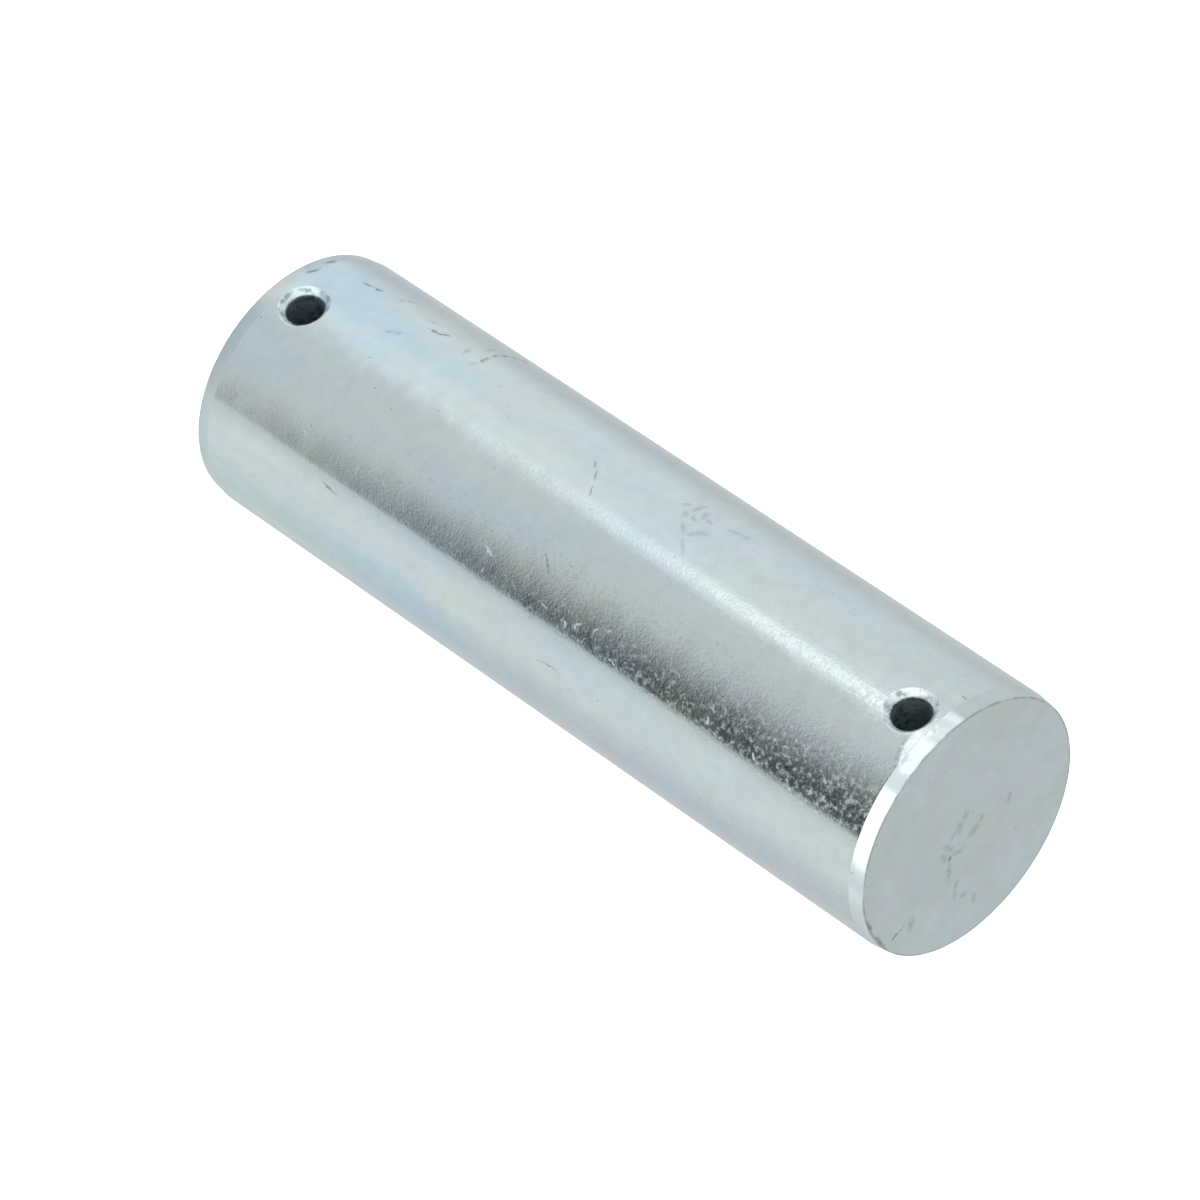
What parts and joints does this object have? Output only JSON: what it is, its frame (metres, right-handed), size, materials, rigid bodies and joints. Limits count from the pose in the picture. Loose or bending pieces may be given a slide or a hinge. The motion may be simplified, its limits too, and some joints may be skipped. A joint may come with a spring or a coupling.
{
  "type": "yoke pin",
  "caption": "Plain zinc-plated steel yoke pin: a turned cylinder with a shallow lead at each end and a countersunk split-pin hole drilled across it near each end.",
  "frame": {"origin": "centre of the lower end face, on which the pin stands", "axes": "+Z along the pin's axis, towards its upper end; both split-pin holes run along Y"},
  "size_m": [0.03, 0.03, 0.1],
  "materials": {
    "zinc_plated_steel": "turned steel, bright zinc plated with a clear-blue passivation, satin, with handling marks"
  },
  "bodies": {
    "root": {"yoke_pin": "zinc_plated_steel"}
  },
  "joints": []
}
